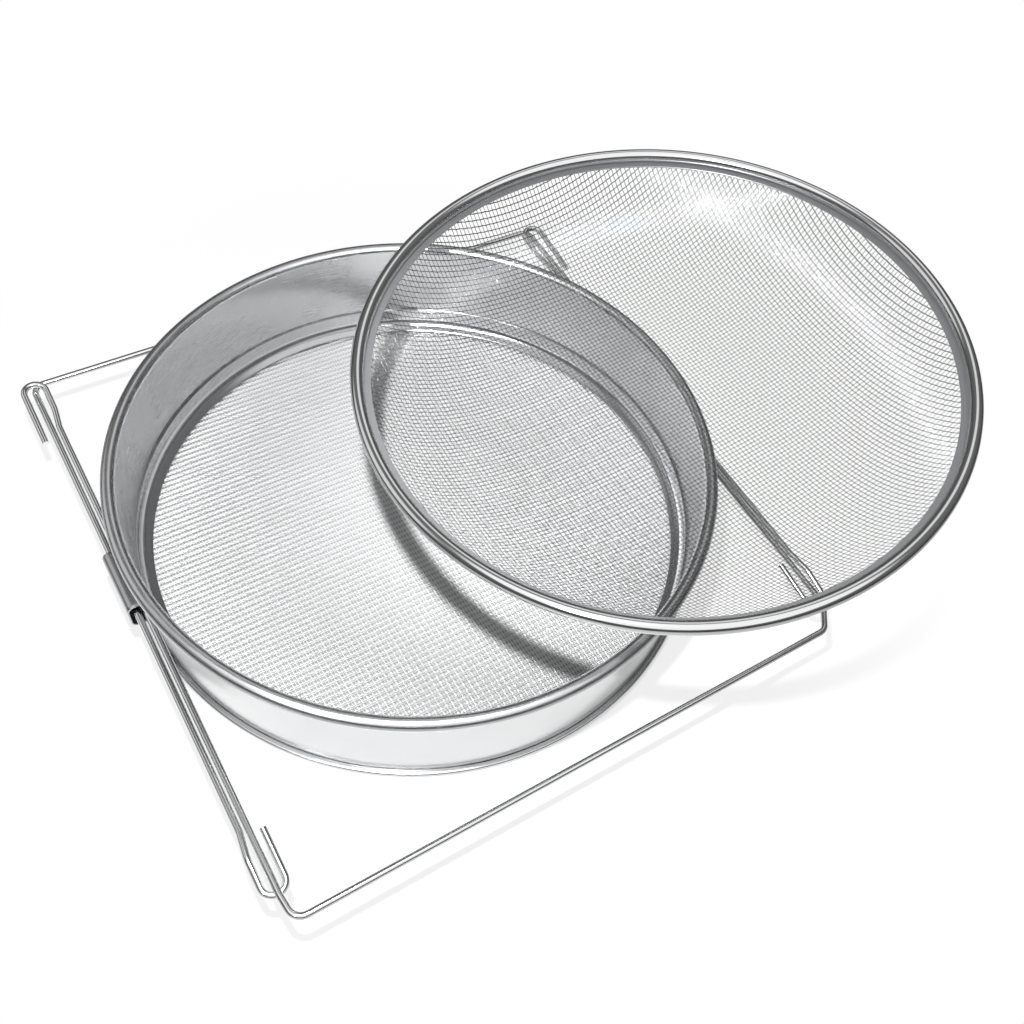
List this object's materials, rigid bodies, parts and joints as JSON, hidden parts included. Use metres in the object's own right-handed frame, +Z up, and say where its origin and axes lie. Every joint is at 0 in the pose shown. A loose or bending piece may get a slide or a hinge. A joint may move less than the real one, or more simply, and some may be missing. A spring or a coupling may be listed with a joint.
{
  "type": "double mesh strainer",
  "caption": "Two-stage steel strainer: fine-mesh drum sieve carried on sliding wire arms, with a loose coarse-mesh bowl sieve laid on its rim.",
  "frame": {"origin": "centre of the whole strainer's footprint, on the surface the drum stands on", "axes": "+X points from the drum to the side the upper sieve is pushed to, +Y to the back along the arms, +Z up"},
  "size_m": [0.3432, 0.2738, 0.1037],
  "materials": {
    "drum_sheet": "satin rolled",
    "bright_sheet": "polished",
    "core_wire": "drawn",
    "clip_sheet": "satin",
    "arm_wire": "bright drawn",
    "fine_weave": "woven wire",
    "coarse_weave": "woven wire"
  },
  "bodies": {
    "drum_sieve": {"drum_wall": "drum_sheet", "drum_rim_wire": "core_wire", "clamp_ring": "bright_sheet", "lower_mesh": "fine_weave", "left_clip": "clip_sheet", "right_clip": "clip_sheet"},
    "back_frame": {"back_arm": "arm_wire"},
    "front_frame": {"front_arm": "arm_wire"},
    "upper_sieve": {"upper_rim": "bright_sheet", "upper_rim_wire": "core_wire", "upper_mesh": "coarse_weave"}
  },
  "joints": [
    {"name": "back_arm_slide", "type": "slide", "parent": "drum_sieve", "child": "back_frame", "axis": [0, 1, 0], "range_m": [0, 0.072]},
    {"name": "front_arm_slide", "type": "slide", "parent": "drum_sieve", "child": "front_frame", "axis": [0, -1, 0], "range_m": [0, 0.0635]},
    {"name": "upper_sieve_lift", "type": "slide", "parent": "drum_sieve", "child": "upper_sieve", "axis": [0, 0, 1], "range_m": [0, 0.08]}
  ]
}
